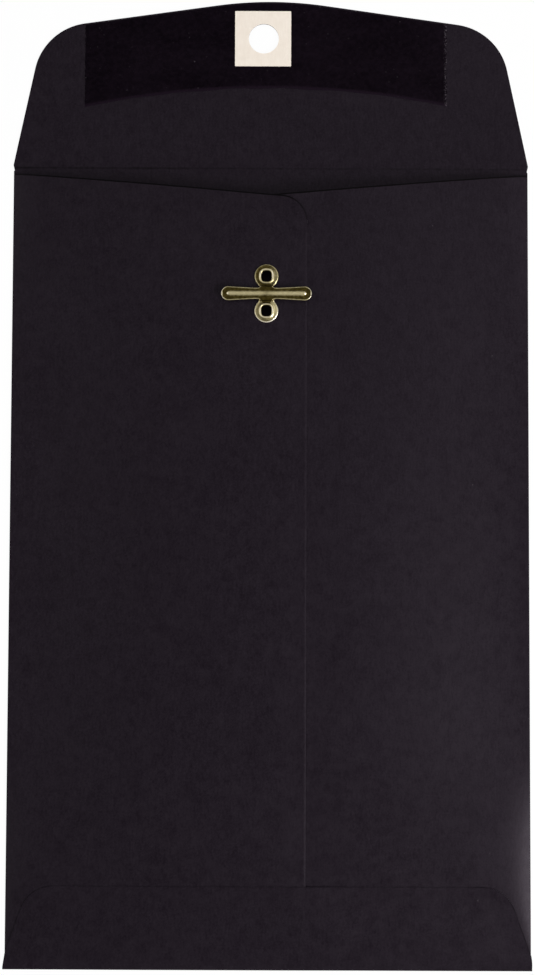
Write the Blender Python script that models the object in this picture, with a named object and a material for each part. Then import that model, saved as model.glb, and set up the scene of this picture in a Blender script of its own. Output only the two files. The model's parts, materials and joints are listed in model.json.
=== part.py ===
"""A clasp envelope of the open-end kind, lying on its back with the closing flap open.

Metres, +Z up. Looking down on the clasp side, +X is to the right and +Y is towards the flap.
The origin is on the surface that the envelope lies on, under the middle of its open length.

The paper is one folded blank, modelled panel by panel: the back, two front panels that overlap in a
centre seam, a bottom flap glued up over them, and the closing flap. The clasp is one brass stamping,
modelled as the base that is riveted through the seam and the two prongs that bend.
"""

import math

import bmesh
import bpy
import numpy as np

# Overall sizes
BODY_WIDTH = 0.1479
BODY_LENGTH = 0.2286  # closing crease to bottom fold
FLAP_LENGTH = 0.0482  # closing crease to the flap's tip

# Paper, glue and the space left between leaves that lie on each other
PAPER = 0.0002
FILM = 0.00008
LEAF_GAP = 0.0001
FOLD_GAP = 0.0002  # space between two panels where they meet at a fold
FOLD_RUN = 0.0003  # flat run of a folded panel before its roll begins

# The puffed pocket
POCKET_HEIGHT = 0.0047  # how far the front stands off the back at the mouth
POCKET_RISE = 0.090  # run from the bottom fold over which the front climbs to that height
MIDDLE_FLATNESS = 3  # power that keeps the front level across the middle
SIDE_FLATNESS = 2.2  # power of the curve that comes down flat to the side folds
CORNER_FULLNESS = 0.60  # share of a curve that rolls over close to the side folds, above the bottom corners
CORNER_UP = 0.0255  # bottom fold to where that share is largest
CORNER_SPAN = 0.027
CORNER_SLOPE = 0.75  # slope at which that curve leaves the side folds
CORNER_POWER = 45  # its highest power, where the pocket is shallow
MOUTH_FULLNESS = 0.45  # share of a rolled curve at the mouth
MOUTH_SPAN = 0.040
MOUTH_POWER = 16
STEP_RUN = 0.045  # run from the side fold over which the outer front panel climbs onto the inner one

# Front panels
THROAT_DEPTH = 0.0091  # crease to the panels' top edges on the centre line
THROAT_SIDE = 0.0025  # crease to the same edges at the side folds
SEAM_REACH = 0.0105  # how far each front panel runs past the centre line
SEAM_CORNER = 0.0070

# Bottom flap
BOTTOM_FLAP = 0.0235  # bottom fold to the flap's top edge
BOTTOM_FLAP_SPUR = 0.0005  # how far its lower corners stand out past the body on each side
BOTTOM_FLAP_SHANK = 0.0044  # height at which its sides come in past the body's sides
BOTTOM_FLAP_TAPER = 0.366  # how far each side draws in per unit of height above that
BOTTOM_FLAP_CORNER = 0.0100
BOTTOM_FLAP_LEVEL = 0.0060  # how far in from its sides it stays level over the fronts' rolled sides

# Closing flap
FLAP_SPUR = 0.00015  # how far its lower corners stand out past the body on each side
FLAP_SHOULDER_INSET = 0.00825  # body's side to where the flap's side meets its sloping top edge
FLAP_SHOULDER_RADIUS = 0.0170
FLAP_TOP_SLOPE = math.radians(8.06)
FLAP_TIP_RADIUS = 0.110

# Gum band on the flap
GUM_SIDE_MARGIN = 0.02175  # body's side to the band's end
GUM_SHIFT = -0.0015
GUM_INSET = 0.0005  # bare margin along the flap's edge
GUM_DEPTH = 0.0254  # flap's tip to the band's arched lower edge, on the centre line
GUM_ARCH_RADIUS = 0.255

# Glue strips inside
SEAM_GLUE_INSET = 0.0020
SEAM_GLUE_TOP = 0.0190  # crease to the strip's upper end
BOTTOM_GLUE_MARGIN = 0.0183  # bottom flap's corner to the strip's end
BOTTOM_GLUE_START = 0.0050
BOTTOM_GLUE_END = 0.0190

# Hole and reinforcing patch
HOLE_RADIUS = 0.00434
HOLE_FROM_TIP = 0.0109  # flap's tip to the hole's centre
HOLE_SLIP = -0.00105  # how far the hole is punched to the side of the clasp's line
PATCH_SIZE = 0.0162
PATCH_THICKNESS = 0.00015
PATCH_CORNER = 0.0003
PATCH_SLIP = -0.0002

# Clasp
CLASP_SHIFT = -0.0011
CLASP_DROP = 0.0007  # how far the clasp sits below the middle of the closed flap's hole
BRASS = 0.00035
PRONG_REACH = 0.01285  # clasp centre to a prong's tip
PRONG_WAIST = 0.0028
PRONG_END_WIDTH = 0.0040
PRONG_HINGE = 0.0020  # clasp centre to a prong's bending line
PRONG_GAP = 0.00015  # from the bending line to the metal on either side
BEAD_REACH = 0.0115
BEAD_WIDTH = 0.0016
BEAD_HEIGHT = 0.00030
GROOVE_DEPTH = 0.7  # share of the bead's height that is hollow underneath
GROOVE_WIDTH = 0.8  # share of the bead's width that is hollow underneath
RIM_CHAMFER = 0.00010
EYELET_SPACING = 0.0099  # between the two eyelets' centres
EYELET_RADIUS = 0.0034
EYELET_LIP = 0.00012  # how far the rolled lip stands above the eyelet's rim
LIP_RADIUS = 0.0021
BARREL_RADIUS = 0.00172
BARREL_WALL = 0.00027
BARREL_SQUARENESS = 3  # power of the barrel's rounded-square section
CLINCH_RADIUS = 0.0027
CLINCH_DROP = 0.00030
BARREL_CLEARANCE = 0.0002
NECK_WIDTH = 0.0036

# Facets
PANEL_COLUMNS = 12
PANEL_ROWS = 18
ARC_STEPS = 6
FLAP_COLUMNS = 28
HOLE_STEPS = 32
EYELET_STEPS = 28
BEAD_STEPS = 8
GLUE_STEPS = 4
ROW_CROWDING = 1.5  # power that draws the panels' rows together at the bottom
TIP_TURN = math.radians(78)  # how far a prong's round end runs before its small end face

# Places and heights that follow from the sizes
CREASE_Y = (BODY_LENGTH - FLAP_LENGTH) / 2
BOTTOM_Y = CREASE_Y - BODY_LENGTH
HOLE_FROM_CREASE = FLAP_LENGTH - HOLE_FROM_TIP  # the closed flap's hole comes down over the clasp
CLASP_Y = CREASE_Y - HOLE_FROM_CREASE - CLASP_DROP
HOLE_X = CLASP_SHIFT + HOLE_SLIP
HOLE_Y = CREASE_Y + HOLE_FROM_CREASE
SIDE_FOLD_RADIUS = PAPER + LEAF_GAP / 2
FOLD_X = BODY_WIDTH / 2 - SIDE_FOLD_RADIUS  # centre of the side folds' roll
BOTTOM_FLAP_HALF = BODY_WIDTH / 2 + BOTTOM_FLAP_SPUR
GLUED_GAP = LEAF_GAP + FILM + LEAF_GAP
OUTER_STEP = PAPER + GLUED_GAP  # the outer front panel's height over the inner one
BOTTOM_STACK = PAPER + LEAF_GAP + PAPER + OUTER_STEP + GLUED_GAP + PAPER
BOTTOM_ROLL_Y = BOTTOM_Y + BOTTOM_STACK / 2  # where the bottom fold's roll begins
PANEL_BOTTOM_Y = BOTTOM_ROLL_Y + FOLD_RUN + FOLD_GAP
BARREL_CORNER = BARREL_RADIUS * 2 ** (0.5 - 1 / BARREL_SQUARENESS)
BARREL_HOLE_RADIUS = BARREL_CORNER + BARREL_CLEARANCE


def pocket_depth(x, y):
    """Height of the pocket between back and front, which closes at the sides and the bottom."""
    out = np.minimum(np.abs(x) / FOLD_X, 1)
    corner = CORNER_FULLNESS * np.exp(-(((y - BOTTOM_Y - CORNER_UP) / CORNER_SPAN) ** 2))
    mouth = MOUTH_FULLNESS * np.exp(-(((CREASE_Y - y) / MOUTH_SPAN) ** 2))
    climb = np.clip((y - BOTTOM_Y - BOTTOM_STACK) / POCKET_RISE, 0, 1)
    height = POCKET_HEIGHT * (1 - (1 - climb) ** 3)
    power = np.minimum(CORNER_SLOPE * FOLD_X / np.maximum(height, PAPER), CORNER_POWER)
    flat = (1 - out**MIDDLE_FLATNESS) ** SIDE_FLATNESS
    across = (1 - corner - mouth) * flat + corner * (1 - out**power) + mouth * (1 - out**MOUTH_POWER)
    return height * across


def outer_step(x):
    """How far the outer front panel has climbed over the inner one, this far from the centre line."""
    climb = np.clip((FOLD_X - np.abs(x)) / STEP_RUN, 0, 1)
    return OUTER_STEP * climb * climb * (3 - 2 * climb)


def inner_leaf(x, y):
    """Underside of the inner front panel."""
    return PAPER + LEAF_GAP + pocket_depth(x, y)


def front_top(x, y):
    """Upper face of the outer front panel."""
    return inner_leaf(x, y) + outer_step(x) + PAPER


# Heights that stack up at the clasp, with the flap open and closed
FRONT_AT_CLASP = float(front_top(CLASP_SHIFT, CLASP_Y))
EYELET_Z = FRONT_AT_CLASP + LEAF_GAP
LIP_TOP = EYELET_Z + BRASS + EYELET_LIP
GUM_Z = PAPER + LEAF_GAP
PATCH_Z = GUM_Z + FILM + LEAF_GAP
PATCH_TOP = PATCH_Z + PATCH_THICKNESS
CREASE_Z = (LIP_TOP + LEAF_GAP + PATCH_TOP) / 2  # the closed flap rolls over the filled mouth
CLOSED_FLAP_TOP = 2 * CREASE_Z
PRONG_Z = CLOSED_FLAP_TOP + LEAF_GAP


def clear_scene():
    for obj in list(bpy.data.objects):
        bpy.data.objects.remove(obj, do_unlink=True)


def finish(name, colour, roughness, metallic=0.0):
    """A Principled material."""
    material = bpy.data.materials.new(name)
    material.use_nodes = True
    shader = material.node_tree.nodes["Principled BSDF"]
    shader.inputs["Base Color"].default_value = (*colour, 1.0)
    shader.inputs["Roughness"].default_value = roughness
    shader.inputs["Metallic"].default_value = metallic
    return material


def add_object(name, mesh, material=None, smooth_angle=30):
    """Puts a mesh into the scene, smooth apart from its sharp edges."""
    obj = bpy.data.objects.new(name, mesh)
    bpy.context.scene.collection.objects.link(obj)
    if material:
        mesh.materials.append(material)
    mesh.shade_smooth()
    mesh.set_sharp_from_angle(angle=math.radians(smooth_angle))
    return obj


def mesh_from(name, bm):
    mesh = bpy.data.meshes.new(name)
    bm.to_mesh(mesh)
    bm.free()
    return mesh


def add_sheet(name, lower_face, thickness, material):
    """A leaf with the grid of points lower_face underneath, its columns running to +X and rows to +Y."""
    bm = bmesh.new()
    verts = [[bm.verts.new(point) for point in row] for row in lower_face]
    for front, back in zip(verts, verts[1:]):
        for k in range(len(front) - 1):
            bm.faces.new((front[k], front[k + 1], back[k + 1], back[k]))
    obj = add_object(name, mesh_from(name, bm), material)
    solidify = obj.modifiers.new("leaf", "SOLIDIFY")
    solidify.thickness = thickness
    solidify.offset = 1.0
    solidify.use_even_offset = True
    return obj


def add_plate(name, outline, z, thickness, material):
    """A flat leaf: the outline, counter-clockwise, raised from z by its thickness."""
    bm = bmesh.new()
    face = bm.faces.new([bm.verts.new((x, y, z)) for x, y in outline])
    raised = bmesh.ops.extrude_face_region(bm, geom=[face])
    top = [item for item in raised["geom"] if isinstance(item, bmesh.types.BMVert)]
    bmesh.ops.translate(bm, verts=top, vec=(0, 0, thickness))
    bmesh.ops.recalc_face_normals(bm, faces=bm.faces)
    return add_object(name, mesh_from(name, bm), material)


def loft(name, sections, ring=False):
    """A mesh through closed sections of equally many points, capped at its ends or run round to a ring."""
    bm = bmesh.new()
    loops = [[bm.verts.new(point) for point in section] for section in sections]
    pairs = list(zip(loops, loops[1:]))
    if ring:
        pairs.append((loops[-1], loops[0]))
    for one, two in pairs:
        for k in range(len(one)):
            after = (k + 1) % len(one)
            bm.faces.new((one[k], one[after], two[after], two[k]))
    if not ring:
        bm.faces.new(loops[0])
        bm.faces.new(loops[-1])
    bmesh.ops.recalc_face_normals(bm, faces=bm.faces)
    return mesh_from(name, bm)


def add_cutter(name, radius, x, y, low, high):
    """An upright cylinder that other pieces are cut with."""
    bm = bmesh.new()
    bmesh.ops.create_circle(bm, cap_ends=True, segments=HOLE_STEPS, radius=radius)
    raised = bmesh.ops.extrude_face_region(bm, geom=bm.faces[:])
    top = [item for item in raised["geom"] if isinstance(item, bmesh.types.BMVert)]
    bmesh.ops.translate(bm, verts=top, vec=(0, 0, high - low))
    bmesh.ops.recalc_face_normals(bm, faces=bm.faces)
    bmesh.ops.translate(bm, verts=bm.verts, vec=(x, y, low))
    cutter = add_object(name, mesh_from(name, bm))
    cutter.hide_render = True
    cutter.display_type = "WIRE"
    return cutter


def combine(obj, other, operation):
    boolean = obj.modifiers.new(f"{operation.lower()} {other.name}", "BOOLEAN")
    boolean.object = other
    boolean.operation = operation
    boolean.solver = "EXACT"


def add_hinge(name, x, y, z):
    """An empty on a bending line, which the moving pieces hang on."""
    hinge = bpy.data.objects.new(name, None)
    hinge.location = (x, y, z)
    bpy.context.scene.collection.objects.link(hinge)
    return hinge


def hang(obj, hinge):
    """Parents a piece to a hinge and leaves it where it is."""
    obj.parent = hinge
    obj.location = -hinge.location


def fillet(corners, steps=ARC_STEPS):
    """The outline through (x, y, radius) corners, each rounded by an arc."""
    points = []
    for k, (x, y, radius) in enumerate(corners):
        here = np.array([x, y])
        to_last = np.array(corners[k - 1][:2]) - here
        to_next = np.array(corners[(k + 1) % len(corners)][:2]) - here
        to_last = to_last / np.linalg.norm(to_last)
        to_next = to_next / np.linalg.norm(to_next)
        if radius == 0:
            points.append(here)
            continue
        half = math.acos(float(np.clip(to_last @ to_next, -1, 1))) / 2
        middle = (to_last + to_next) / np.linalg.norm(to_last + to_next)
        centre = here + middle * radius / math.sin(half)
        start = here + to_last * radius / math.tan(half) - centre
        end = here + to_next * radius / math.tan(half) - centre
        turn = math.pi - 2 * half
        for share in np.linspace(0, 1, steps + 1):
            mixed = math.sin((1 - share) * turn) * start + math.sin(share * turn) * end
            points.append(centre + mixed / math.sin(turn))
    return points


def flap_tip():
    """Height above the crease at which the flap's two sloping edges would meet."""
    return FLAP_LENGTH + FLAP_TIP_RADIUS * (1 / math.cos(FLAP_TOP_SLOPE) - 1)


def flap_edge(x):
    """Y of the flap's top edge: two slopes with a round tip."""
    slope = CREASE_Y + flap_tip() - math.tan(FLAP_TOP_SLOPE) * np.abs(x)
    round_half = FLAP_TIP_RADIUS * math.sin(FLAP_TOP_SLOPE)
    inside = np.minimum(np.abs(x), round_half)
    tip = CREASE_Y + FLAP_LENGTH - FLAP_TIP_RADIUS + np.sqrt(FLAP_TIP_RADIUS**2 - inside**2)
    return np.where(np.abs(x) < round_half, tip, slope)


def make_back_panel(paper):
    side = FOLD_X - FOLD_RUN - FOLD_GAP
    high = CREASE_Y - FOLD_GAP / 2
    outline = [(-side, PANEL_BOTTOM_Y), (side, PANEL_BOTTOM_Y), (side, high), (-side, high)]
    add_plate("back_panel", outline, 0, PAPER, paper)


def panel_columns():
    """Distance from the centre line, towards the panel's own side, of its columns past the side fold."""
    corner_start = SEAM_CORNER - SEAM_REACH
    spread = np.sin(np.linspace(math.pi / 2, 0, PANEL_COLUMNS))
    wide = corner_start + (FOLD_X - corner_start) * spread
    angles = np.linspace(0, math.pi / 2, ARC_STEPS + 1)[1:]
    return np.concatenate([wide, corner_start - SEAM_CORNER * np.sin(angles)])


def throat_edge(out):
    """Y of a front panel's top edge: a slope down to the centre, then the round corner at the seam."""
    slope = (THROAT_DEPTH - THROAT_SIDE) / FOLD_X
    past = np.clip(SEAM_CORNER - SEAM_REACH - out, 0, SEAM_CORNER)
    rounding = SEAM_CORNER - np.sqrt(SEAM_CORNER**2 - past**2)
    return CREASE_Y - THROAT_DEPTH + slope * out - rounding


def make_front_panel(name, side, step, paper):
    """A front panel with its side fold. side is -1 on the left; step is its height over the inner panel."""
    turn = np.linspace(-math.pi / 2, math.pi / 2, ARC_STEPS + 1)[:-1]
    roll_out = np.append(FOLD_X - FOLD_RUN, FOLD_X + LEAF_GAP / 2 * np.cos(turn))
    roll_z = np.append(PAPER, SIDE_FOLD_RADIUS + LEAF_GAP / 2 * np.sin(turn))
    leaf_out = panel_columns()
    out = np.concatenate([roll_out, leaf_out])
    share = np.linspace(0, 1, PANEL_ROWS)[:, None] ** ROW_CROWDING
    y = PANEL_BOTTOM_Y + (throat_edge(np.minimum(out, FOLD_X)) - PANEL_BOTTOM_Y) * share
    z = np.empty_like(y)
    folded = len(roll_out)
    z[:, :folded] = roll_z
    z[:, folded:] = inner_leaf(leaf_out, y[:, folded:]) + step(leaf_out)
    grid = np.stack([np.broadcast_to(side * out, y.shape), y, z], axis=-1)
    if side > 0:
        grid = grid[:, ::-1]
    return add_sheet(name, grid, PAPER, paper)


def outer_panel_step(out):
    """The outer panel stays up on the inner one where it runs past the centre line."""
    return np.where(out > 0, outer_step(out), OUTER_STEP)


def bottom_flap_outline():
    """(height above the bottom fold, half width) up the bottom flap's side and round its corner."""
    lean = math.atan(BOTTOM_FLAP_TAPER)
    meet = BODY_WIDTH / 2 - BOTTOM_FLAP_TAPER * (BOTTOM_FLAP - BOTTOM_FLAP_SHANK)
    centre_x = meet - BOTTOM_FLAP_CORNER * math.tan((math.pi / 2 - lean) / 2)
    centre_up = BOTTOM_FLAP - BOTTOM_FLAP_CORNER
    angles = np.linspace(lean, math.pi / 2, ARC_STEPS + 1)
    up = centre_up + BOTTOM_FLAP_CORNER * np.sin(angles)
    wide = centre_x + BOTTOM_FLAP_CORNER * np.cos(angles)
    shank = np.linspace(BOTTOM_STACK / 2, BOTTOM_FLAP_SHANK, ARC_STEPS // 2 + 1)
    spur = BOTTOM_FLAP_SPUR * (1 - shank / BOTTOM_FLAP_SHANK)
    taper = np.linspace(BOTTOM_FLAP_SHANK, up[0], ARC_STEPS // 2 + 2)[1:-1]
    drawn_in = BOTTOM_FLAP_TAPER * (taper - BOTTOM_FLAP_SHANK)
    up = np.concatenate([shank, taper, up])
    wide = np.concatenate([BODY_WIDTH / 2 + spur, BODY_WIDTH / 2 - drawn_in, wide])
    return up, wide


def make_bottom_flap(paper):
    """The bottom fold, rolled round the front panels' ends, and the flap that lies up over them."""
    share = np.sin(np.linspace(-1, 1, FLAP_COLUMNS + 1) * math.pi / 2)
    base_x = BOTTOM_FLAP_HALF * share
    stack = BOTTOM_STACK - OUTER_STEP + outer_step(base_x)
    inside = stack / 2 - PAPER
    start = np.full_like(base_x, BOTTOM_ROLL_Y + FOLD_RUN)
    rows = [(base_x, start, np.full_like(base_x, PAPER))]
    for turn in np.linspace(0, math.pi, ARC_STEPS + 3)[:-1]:
        y = BOTTOM_Y + stack / 2 - inside * math.sin(turn)
        rows.append((base_x, y, stack / 2 - inside * math.cos(turn)))
    for up, wide in zip(*bottom_flap_outline()):
        x = wide * share
        y = np.full_like(x, BOTTOM_Y + up)
        within = np.clip(x, BOTTOM_FLAP_LEVEL - wide, wide - BOTTOM_FLAP_LEVEL)
        rows.append((x, y, front_top(within, y) + GLUED_GAP))
    grid = np.array([np.stack(row, axis=-1) for row in rows])
    add_sheet("bottom_flap", grid, PAPER, paper)


def leaf_patch(x, y, height):
    """A grid of points over the columns x and rows y, on a leaf's height."""
    x, y = np.meshgrid(x, y)
    return np.stack([x, y, height(x, y)], axis=-1)


def make_glue_strips(glue, barrel_holes):
    side = SEAM_REACH - SEAM_GLUE_INSET
    low = BOTTOM_Y + BOTTOM_GLUE_START
    high = CREASE_Y - SEAM_GLUE_TOP
    rows = low + (high - low) * np.linspace(0, 1, PANEL_ROWS) ** ROW_CROWDING
    columns = np.linspace(-side, side, GLUE_STEPS + 1)
    grid = leaf_patch(columns, rows, lambda x, y: inner_leaf(x, y) + PAPER + LEAF_GAP)
    seam = add_sheet("seam_glue", grid, FILM, glue)
    for cutter in barrel_holes:
        combine(seam, cutter, "DIFFERENCE")
    half = BOTTOM_FLAP_HALF - BOTTOM_GLUE_MARGIN
    rows = np.linspace(low, BOTTOM_Y + BOTTOM_GLUE_END, GLUE_STEPS + 1)
    columns = np.linspace(-half, half, FLAP_COLUMNS + 1)
    grid = leaf_patch(columns, rows, lambda x, y: front_top(x, y) + LEAF_GAP)
    add_sheet("bottom_flap_glue", grid, FILM, glue)


def make_closing_flap(paper, gum, card):
    """The flap with its gum band and reinforcing patch, all punched by one hole."""
    hinge = add_hinge("flap_hinge", 0, CREASE_Y, CREASE_Z)
    punch = add_cutter("hole_punch", HOLE_RADIUS, HOLE_X, HOLE_Y, -CREASE_Z, CREASE_Z)
    base = BODY_WIDTH / 2 + FLAP_SPUR
    shoulder = BODY_WIDTH / 2 - FLAP_SHOULDER_INSET
    shoulder_y = CREASE_Y + flap_tip() - math.tan(FLAP_TOP_SLOPE) * shoulder
    low = CREASE_Y + FOLD_GAP / 2
    outline = fillet(
        [
            (-base, low, 0),
            (base, low, 0),
            (shoulder, shoulder_y, FLAP_SHOULDER_RADIUS),
            (0, CREASE_Y + flap_tip(), FLAP_TIP_RADIUS),
            (-shoulder, shoulder_y, FLAP_SHOULDER_RADIUS),
        ],
        steps=2 * ARC_STEPS,
    )
    flap = add_plate("closure_flap", outline, 0, PAPER, paper)

    half = BODY_WIDTH / 2 - GUM_SIDE_MARGIN
    x = GUM_SHIFT + np.linspace(-half, half, FLAP_COLUMNS + 1)
    arch = CREASE_Y + FLAP_LENGTH - GUM_DEPTH - GUM_ARCH_RADIUS + np.sqrt(GUM_ARCH_RADIUS**2 - x**2)
    upper = flap_edge(x) - GUM_INSET
    band = add_plate("flap_gum", [*zip(x, arch), *zip(x[::-1], upper[::-1])], GUM_Z, FILM, gum)

    half = PATCH_SIZE / 2
    x = HOLE_X + PATCH_SLIP
    signs = [(-1, -1), (1, -1), (1, 1), (-1, 1)]
    outline = fillet([(x + half * a, HOLE_Y + half * b, PATCH_CORNER) for a, b in signs], steps=2)
    patch = add_plate("hole_patch", outline, PATCH_Z, PATCH_THICKNESS, card)

    for leaf in (flap, band, patch):
        combine(leaf, punch, "DIFFERENCE")
        hang(leaf, hinge)


def eyelet_section(turn):
    """One half section of an eyelet at this angle: dished rim, rolled lip, barrel and clinched edge."""
    paper_depth = LEAF_GAP + PAPER + OUTER_STEP  # eyelet's underside to the inner panel's underside
    clinch_top = -paper_depth - LEAF_GAP
    bore = BARREL_RADIUS - BARREL_WALL
    lip = BRASS + EYELET_LIP
    profile = [
        (EYELET_RADIUS - RIM_CHAMFER, 0),
        (EYELET_RADIUS, RIM_CHAMFER),
        (EYELET_RADIUS, BRASS - RIM_CHAMFER),
        (EYELET_RADIUS - RIM_CHAMFER, BRASS),
        (EYELET_RADIUS - 3 * RIM_CHAMFER, BRASS - RIM_CHAMFER / 2),
        ((EYELET_RADIUS + LIP_RADIUS) / 2, BRASS - RIM_CHAMFER),
        (LIP_RADIUS, BRASS),
        ((LIP_RADIUS + BARREL_RADIUS) / 2, lip - EYELET_LIP / 4),
        (BARREL_RADIUS, lip),
        (bore + RIM_CHAMFER, lip - EYELET_LIP / 2),
        (bore, BRASS / 2),
        (bore, clinch_top),
        (BARREL_RADIUS, clinch_top - CLINCH_DROP + RIM_CHAMFER / 2),
        ((BARREL_RADIUS + CLINCH_RADIUS) / 2, clinch_top - CLINCH_DROP),
        (CLINCH_RADIUS, clinch_top - CLINCH_DROP / 2),
        (CLINCH_RADIUS - RIM_CHAMFER, clinch_top),
        (BARREL_RADIUS + RIM_CHAMFER, clinch_top - RIM_CHAMFER / 4),
        (BARREL_RADIUS, clinch_top + RIM_CHAMFER),
        (BARREL_RADIUS, 0),
    ]
    power = BARREL_SQUARENESS
    square = (abs(math.cos(turn)) ** power + abs(math.sin(turn)) ** power) ** (-1 / power)
    points = []
    for radius, z in profile:
        blend = min(max((CLINCH_RADIUS - radius) / (CLINCH_RADIUS - BARREL_RADIUS), 0), 1)
        reach = radius * (1 + blend * (square - 1))
        points.append((reach * math.cos(turn), reach * math.sin(turn), z))
    return np.array(points)


def add_eyelet(name, y):
    sections = [eyelet_section(2 * math.pi * k / EYELET_STEPS) for k in range(EYELET_STEPS)]
    place = np.array([CLASP_SHIFT, y, EYELET_Z])
    eyelet = add_object(name, loft(name, [section + place for section in sections], ring=True))
    eyelet.hide_render = True
    eyelet.display_type = "WIRE"
    return eyelet


def bead_height(across):
    """The pressed bead's height this far from the middle of the bar."""
    inside = np.clip(np.abs(across) / (BEAD_WIDTH / 2), 0, 1)
    return BEAD_HEIGHT * np.cos(inside * math.pi / 2) ** 2


def bridge_stations():
    """Y, half width and underside of the base's bridge and necks, from the lower eyelet to the upper."""
    rise = PRONG_Z - EYELET_Z
    ring_side = EYELET_SPACING / 2 - EYELET_RADIUS  # where the eyelets' rims begin
    sunk = EYELET_SPACING / 2 - LIP_RADIUS  # where the necks end, inside the eyelets' rims
    foot = (ring_side + sunk) / 2
    edge = PRONG_WAIST / 2
    deck = PRONG_HINGE - PRONG_GAP
    neck = NECK_WIDTH / 2
    flare = neck + (sunk - foot) / 2
    bead = BEAD_WIDTH / 2 * np.linspace(1, 0, BEAD_STEPS // 2 + 1)[:-1]
    side = [(sunk, flare, 0.0), (foot, neck, 0.0), (edge, neck, rise), (edge - RIM_CHAMFER, deck, rise)]
    side += [(y, deck, rise) for y in bead]
    low = [(-y, half, z) for y, half, z in side]
    return [*low, (0.0, deck, rise), *side[::-1]]


def make_clasp_base(brass):
    """Bridge and necks, lofted along Y, joined to the two eyelets."""
    sections = []
    for y, half, low in bridge_stations():
        sunk = 0.0 if low else RIM_CHAMFER / 2  # the necks' ends lie within the rims' thickness
        bead = float(bead_height(y)) if low else 0.0
        x0, x1 = CLASP_SHIFT - half, CLASP_SHIFT + half
        z0 = EYELET_Z + low + sunk + GROOVE_DEPTH * bead
        z1 = EYELET_Z + low + BRASS - 3 * sunk + bead
        place = CLASP_Y + y
        sections.append([(x0, place, z0), (x1, place, z0), (x1, place, z1), (x0, place, z1)])
    base = add_object("clasp_base", loft("clasp_base", sections), brass)
    for name, sign in (("lower_eyelet", -1), ("upper_eyelet", 1)):
        combine(base, add_eyelet(name, CLASP_Y + sign * EYELET_SPACING / 2), "UNION")


def prong_half_width(out):
    """Half width of a prong this far from the clasp's centre: a taper from waist to round end."""
    end = PRONG_END_WIDTH / 2
    end_centre = PRONG_REACH - end
    taper = np.clip((out - PRONG_HINGE) / (end_centre - PRONG_HINGE), 0, 1)
    straight = PRONG_WAIST / 2 + (end - PRONG_WAIST / 2) * taper
    past = np.clip(out - end_centre, 0, end)
    return np.minimum(straight, np.sqrt(end**2 - past**2))


def prong_section(out):
    """(across, height) round a prong's section: chamfered rims, pressed bead above, groove below."""
    half = float(prong_half_width(out))
    rim = min(RIM_CHAMFER, half / 3)
    to_end = np.clip((BEAD_REACH - out) / (BEAD_WIDTH / 2), 0, 1)
    rounding = math.sqrt(1 - (1 - to_end) ** 2)
    spread = min(BEAD_WIDTH / 2, half - 2 * rim)
    share = np.linspace(-1, 1, BEAD_STEPS + 1)
    bead = rounding * bead_height(share * BEAD_WIDTH / 2)
    top = [(-half, BRASS - rim), (-half + rim, BRASS)]
    top += [(spread * s, BRASS + h) for s, h in zip(share, bead)]
    top += [(half - rim, BRASS), (half, BRASS - rim)]
    under = [(half, rim), (half - rim, 0)]
    under += [(GROOVE_WIDTH * spread * s, GROOVE_DEPTH * h) for s, h in zip(share[::-1], bead[::-1])]
    under += [(-half + rim, 0), (-half, rim)]
    return top + under


def make_prong(name, side, brass):
    """A prong with its origin on its bending line, which crosses the bar on top of its bead."""
    end = PRONG_END_WIDTH / 2
    root = PRONG_HINGE + PRONG_GAP
    quarter = np.linspace(0, math.pi / 2, ARC_STEPS)
    bead_end = BEAD_REACH - BEAD_WIDTH / 2 * (1 - np.cos(quarter))
    tip = PRONG_REACH - end + end * np.sin(np.linspace(0, TIP_TURN, ARC_STEPS))
    stations = np.unique(np.concatenate([[root], bead_end, tip]))
    sections = []
    for out in stations:
        section = prong_section(out)
        away = side * (out - PRONG_HINGE)
        sections.append([(away, across, height - BRASS - BEAD_HEIGHT) for across, height in section])
    prong = add_object(name, loft(name, sections), brass)
    prong.location = (CLASP_SHIFT + side * PRONG_HINGE, CLASP_Y, PRONG_Z + BRASS + BEAD_HEIGHT)


def main():
    clear_scene()
    paper = finish("black_paper", (0.0140, 0.0100, 0.0148), 0.75)
    gum = finish("dried_gum", (0.0045, 0.0030, 0.0050), 0.35)
    card = finish("cream_card", (0.84, 0.76, 0.66), 0.80)
    glue = finish("clear_glue", (0.55, 0.50, 0.42), 0.50)
    brass = finish("antique_brass", (0.42, 0.36, 0.20), 0.35, metallic=1.0)

    barrel_holes = []
    for name, sign in (("lower_barrel_hole", -1), ("upper_barrel_hole", 1)):
        y = CLASP_Y + sign * EYELET_SPACING / 2
        low = FRONT_AT_CLASP - POCKET_HEIGHT / 2
        barrel_holes.append(add_cutter(name, BARREL_HOLE_RADIUS, CLASP_SHIFT, y, low, PRONG_Z))

    make_back_panel(paper)
    left = make_front_panel("left_front_panel", -1, outer_panel_step, paper)
    right = make_front_panel("right_front_panel", 1, np.zeros_like, paper)
    for leaf in (left, right):
        for cutter in barrel_holes:
            combine(leaf, cutter, "DIFFERENCE")
    make_bottom_flap(paper)
    make_glue_strips(glue, barrel_holes)
    make_closing_flap(paper, gum, card)
    make_clasp_base(brass)
    make_prong("clasp_left_prong", -1, brass)
    make_prong("clasp_right_prong", 1, brass)


main()
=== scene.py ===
"""A black clasp envelope lying open on a white table: fine surfaces, finishes, light and camera.

Metres, in the part's own frame: +X to the right, +Y towards the closing flap, +Z up from the table.
"""

import json
import math

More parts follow.
